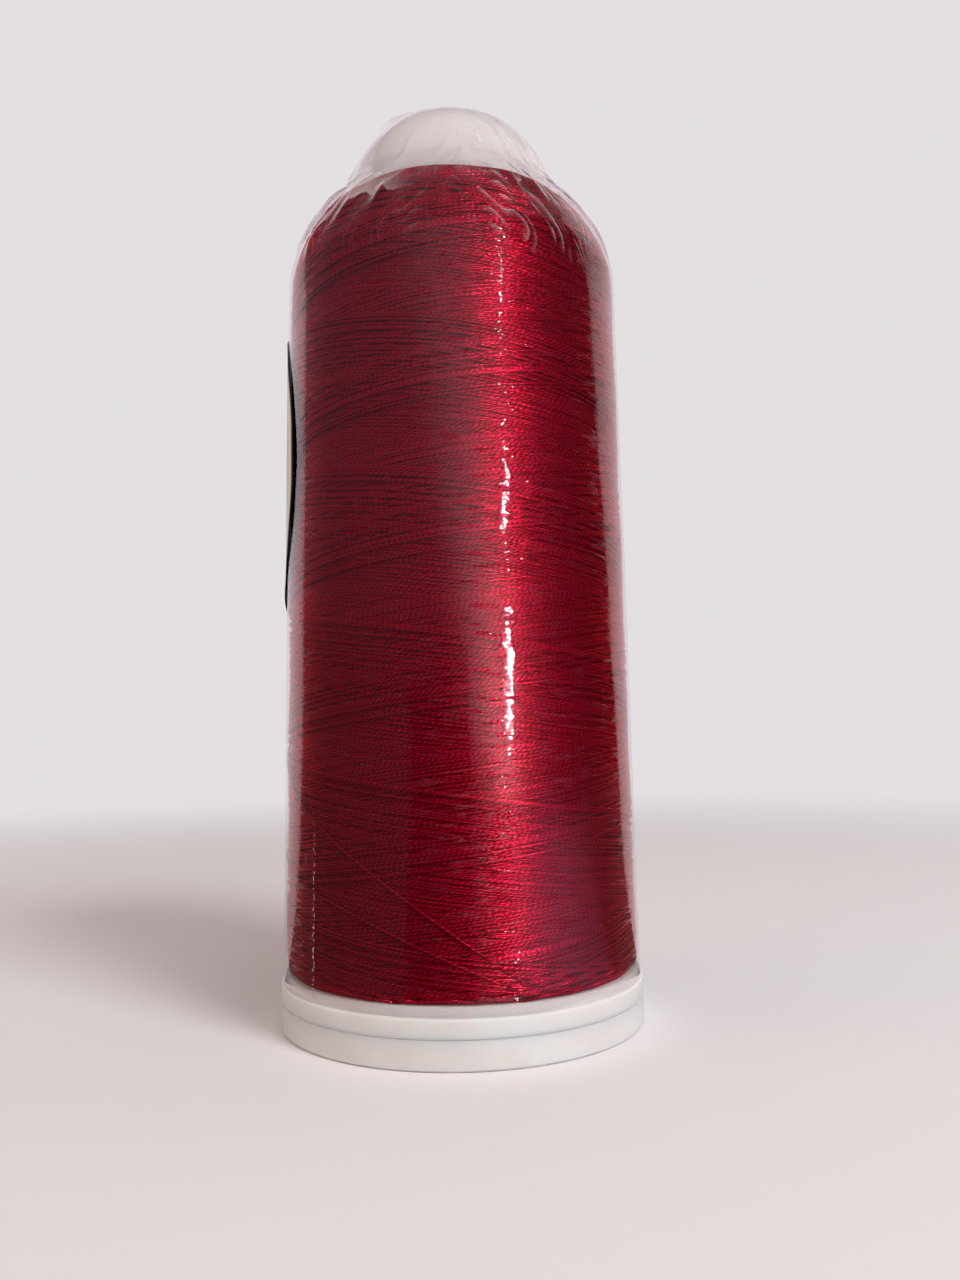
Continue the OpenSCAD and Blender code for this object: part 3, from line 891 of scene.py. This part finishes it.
# All over, the film has shrink marks and takes on a little of the thread's unevenness.
DENT_SCALE, DENT_GATE, DENT_DEPTH = (0.22, 1.1), (0.58, 0.82), 0.12 * MM
CLING_SCALE, CLING_DEPTH = (0.32, 0.55), 0.085 * MM
dents = ramped(tree, film_noise(tree, unrolled, DENT_SCALE), *DENT_GATE)
dent_bump = added(tree, "Bump", {"Strength": 1.0, "Distance": DENT_DEPTH, "Height": dents,
                                 "Normal": crease_bump.outputs["Normal"]})
cling = film_noise(tree, unrolled, CLING_SCALE, Detail=2.0)
cling_bump = added(tree, "Bump", {"Strength": 1.0, "Distance": CLING_DEPTH, "Height": cling,
                                  "Normal": dent_bump.outputs["Normal"]})

# A painted highlight at the left of the shoulder: a pale band along a ragged line, strongest at the
# line and fading upward, that stands for a soft flap's lower edge
FLAP_SCALE, FLAP_WANDER, FLAP_UP = (0.28, 0.0), 7.0, 13.0
FLAP_EDGE, FLAP_HEIGHT = 0.3, 8.0
FLAP_LEFT, FLAP_LEFT_FULL = 25.0, 21.0
FLAP_RIGHT, FLAP_RIGHT_FULL = 8.0, 18.0
flap_noise = film_noise(tree, unrolled, FLAP_SCALE, Detail=1.5)
flap_edge = maths(tree, "MULTIPLY_ADD", flap_noise, FLAP_WANDER, CROWN_AT + FLAP_UP)
above_edge = maths(tree, "SUBTRACT", along, flap_edge)
flap_up = maths(tree, "MULTIPLY", ramped(tree, above_edge, 0.0, FLAP_EDGE),
                ramped(tree, above_edge, FLAP_HEIGHT, FLAP_EDGE))
flap_left = maths(tree, "MULTIPLY", ramped(tree, across, FRONT - FLAP_LEFT, FRONT - FLAP_LEFT_FULL),
                  ramped(tree, across, FRONT - FLAP_RIGHT, FRONT - FLAP_RIGHT_FULL))
flap = maths(tree, "MULTIPLY", flap_up, flap_left)

# The weld, a line of white specks up the film's lowest 30 mm, painted as glints along its ridge
WELD_EDGE, WELD_FULL = 0.30, 0.05
WELD_TOP, WELD_TOP_FULL = 30.0, 18.0
WELD_GLINT_SCALE, WELD_GLINT_GATE = (3.0, 1.5), (0.54, 0.68)
weld_x = (SEAM_AZIMUTH + 180.0) / 360.0 * FILM_ROUND
weld_away = maths(tree, "ABSOLUTE", maths(tree, "SUBTRACT", across, weld_x))
weld_low = maths(tree, "MULTIPLY", ramped(tree, weld_away, WELD_EDGE, WELD_FULL),
                 ramped(tree, along, WELD_TOP, WELD_TOP_FULL))
specks = ramped(tree, film_noise(tree, unrolled, WELD_GLINT_SCALE), *WELD_GLINT_GATE)
weld = maths(tree, "MULTIPLY", weld_low, specks)

# Creased film is painted whiter, partly its own whitening and partly painted glints, and the flap's
# band and the weld's specks are painted highlights too. Film seen edge-on mirrors more.
CREASE_WHITE_AND_GLINT, FLAP_PAINTED_HIGHLIGHT = 0.34, 0.20
MIRROR_SHARPNESS, MIRROR_EDGE_ON, MIRROR_FACE_ON = 4.6, 0.72, 0.025
FILM_CLEAR, FILM_GLOSS = (0.985, 0.975, 0.98, 1.0), (1.0, 0.96, 1.0, 1.0)
FILM_WHITE_AND_GLINT = (0.95, 0.80, 0.83, 1.0)
pale = maths(tree, "MAXIMUM", maths(tree, "MULTIPLY", crease, CREASE_WHITE_AND_GLINT),
             maths(tree, "MULTIPLY", flap, FLAP_PAINTED_HIGHLIGHT))
white_and_painted_glint = maths(tree, "MAXIMUM", weld, pale)
facing = added(tree, "LayerWeight", {"Blend": 0.5}).outputs["Facing"]
edge_on = maths(tree, "POWER", facing, MIRROR_SHARPNESS)
reflected = maths(tree, "MULTIPLY_ADD", edge_on, MIRROR_EDGE_ON, MIRROR_FACE_ON)
clear = added(tree, "BsdfTransparent", {"Color": FILM_CLEAR})
gloss = added(tree, "BsdfGlossy", {"Color": FILM_GLOSS, "Roughness": 0.03,
                                   "Normal": cling_bump.outputs["Normal"]})
# A white diffuse that paints the creases' whitening and glints, the flap's highlight and the weld's
# glints
white = added(tree, "BsdfDiffuse", {"Color": FILM_WHITE_AND_GLINT})
film_mix = added(tree, "MixShader", {0: reflected, 1: clear.outputs[0], 2: gloss.outputs[0]})
marked = added(tree, "MixShader", {0: white_and_painted_glint, 1: film_mix.outputs[0], 2: white.outputs[0]})
added(tree, "OutputMaterial", {"Surface": marked.outputs[0]})
film_sleeve.data.materials.append(film_material)

# ---------------------------------------------------------------------------------------------
# Sticker: an oval of printed gloss paper on the film, a dark border, a gold ring and a plain blue
# field. Its top and bottom edges have begun to lift from the film.
# ---------------------------------------------------------------------------------------------
STICKER_W, STICKER_H = 38 * MM, 53 * MM
STICKER_Z = 98.8 * MM
STICKER_AZIMUTH = -102.0
STICKER_T = 0.12 * MM
STICKER_OFF = 0.12 * MM
EDGE_LIFT, LIFT_FROM, LIFT_OVER = 0.25 * MM, 0.8, 0.2
RIM_WAVE, WAVE_UP, WAVE_START, WAVE_SWELL = 0.07 * MM, 9.0, 0.8, 3.7
RINGS, SPOKES = 22, 96


def sticker_lift(out, up):
    """How far the sticker stands off: its ends curl, and its rim waves. Both places are shares of
    the way from its middle to its rim."""
    lifted = EDGE_LIFT * max(0.0, abs(up) - LIFT_FROM) / LIFT_OVER
    wave = math.sin(WAVE_UP * up + WAVE_START) * math.cos(WAVE_SWELL * up)
    return lifted + RIM_WAVE * out ** 4 * (1.0 + wave)


# Its outer face and its back are rings of points, and a narrow wall joins their rims.
verts, faces, sticker_places = [], [], []
for stand_off in (STICKER_OFF + STICKER_T, STICKER_OFF):
    for i in range(RINGS + 1):
        for k in range(SPOKES):
            out, angle = i / RINGS, 2 * math.pi * k / SPOKES
            across, up = out * math.cos(angle), out * math.sin(angle)
            z = STICKER_Z + 0.5 * STICKER_H * up
            film_at = np.interp(z, film_line[:, 1], film_line[:, 0])
            r = film_at + stand_off + FILM_WALL + sticker_lift(out, up)
            turn = angle_at(STICKER_AZIMUTH) + across * 0.5 * STICKER_W / film_at
            verts.append((r * math.cos(turn), r * math.sin(turn), z))
            sticker_places.append((across, up))
count = (RINGS + 1) * SPOKES
for layer in (0, 1):
    for i in range(RINGS):
        for k in range(SPOKES):
            a = layer * count + i * SPOKES + k
            b = layer * count + i * SPOKES + (k + 1) % SPOKES
            face = (a, a + SPOKES, b + SPOKES, b)
            faces.append(face if layer == 0 else face[::-1])
for k in range(SPOKES):
    a, b = RINGS * SPOKES + k, RINGS * SPOKES + (k + 1) % SPOKES
    faces.append((a, a + count, b + count, b))
sticker = mesh_piece("sticker", verts, faces)
unwrapped(sticker, "oval", [sticker_places[loop.vertex_index] for loop in sticker.data.loops])
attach(sticker, "core")
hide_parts("label")

# The print: where each colour starts, as a share of the way out, and the colour
PRINT_COLOURS = ((0.0, (0.075, 0.16, 0.42, 1)), (0.80, (0.62, 0.42, 0.14, 1)),
                 (0.94, (0.018, 0.010, 0.022, 1)))
sticker_material = bpy.data.materials.new("printed_sticker")
sticker_material.use_nodes = True
tree = sticker_material.node_tree
shader = tree.nodes["Principled BSDF"]
shader.inputs["Roughness"].default_value = 0.28
shader.inputs["Coat Weight"].default_value = 0.3
oval = added(tree, "UVMap", uv_map="oval").outputs["UV"]
centre_out = added(tree, "VectorMath", {0: oval}, operation="LENGTH")
bands = added(tree, "ValToRGB", {"Fac": centre_out.outputs["Value"]})
bands.color_ramp.interpolation = "CONSTANT"
elements = bands.color_ramp.elements
elements[0].position, elements[0].color = PRINT_COLOURS[0]
elements[1].position, elements[1].color = PRINT_COLOURS[1]
for position, colour in PRINT_COLOURS[2:]:
    elements.new(position).color = colour
tree.links.new(bands.outputs["Color"], shader.inputs["Base Color"])
sticker.data.materials.append(sticker_material)

# ---------------------------------------------------------------------------------------------
# Core and base: two mouldings in natural polypropylene, milky and slightly see-through, with a
# satin skin that shows faint flow marks.
# ---------------------------------------------------------------------------------------------
PLASTIC_DEEP, PLASTIC_PALE = (0.765, 0.69, 0.665, 1.0), (0.825, 0.76, 0.74, 1.0)
FLOW_DEEP, FLOW_PALE = 0.35, 0.65
SCATTER_DEPTH = 3.5 * MM
SKIN_DEPTH = 0.1 * MM


def moulded_plastic(name):
    """Milky natural plastic with a soft skin."""
    material = bpy.data.materials.new(name)
    material.use_nodes = True
    tree = material.node_tree
    shader = tree.nodes["Principled BSDF"]
    shader.inputs["Roughness"].default_value = 0.55
    shader.inputs["Subsurface Weight"].default_value = 0.9
    shader.inputs["Subsurface Radius"].default_value = (1.0, 0.75, 0.65)
    shader.inputs["Subsurface Scale"].default_value = SCATTER_DEPTH
    place = added(tree, "TexCoord").outputs["Object"]
    flow = added(tree, "TexNoise", {"Vector": place, "Scale": 90.0, "Detail": 4.0}).outputs["Fac"]
    tint = added(tree, "ValToRGB", {"Fac": flow})
    tint.color_ramp.elements[0].position = FLOW_DEEP
    tint.color_ramp.elements[0].color = PLASTIC_DEEP
    tint.color_ramp.elements[1].position = FLOW_PALE
    tint.color_ramp.elements[1].color = PLASTIC_PALE
    skin = added(tree, "Bump", {"Strength": 0.3, "Distance": SKIN_DEPTH, "Height": flow})
    tree.links.new(tint.outputs["Color"], shader.inputs["Base Color"])
    tree.links.new(skin.outputs["Normal"], shader.inputs["Normal"])
    return material


plastic = moulded_plastic("milky_plastic")
for node in ("spool_core", "snap_base"):
    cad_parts[node].data.materials.clear()
    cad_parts[node].data.materials.append(plastic)
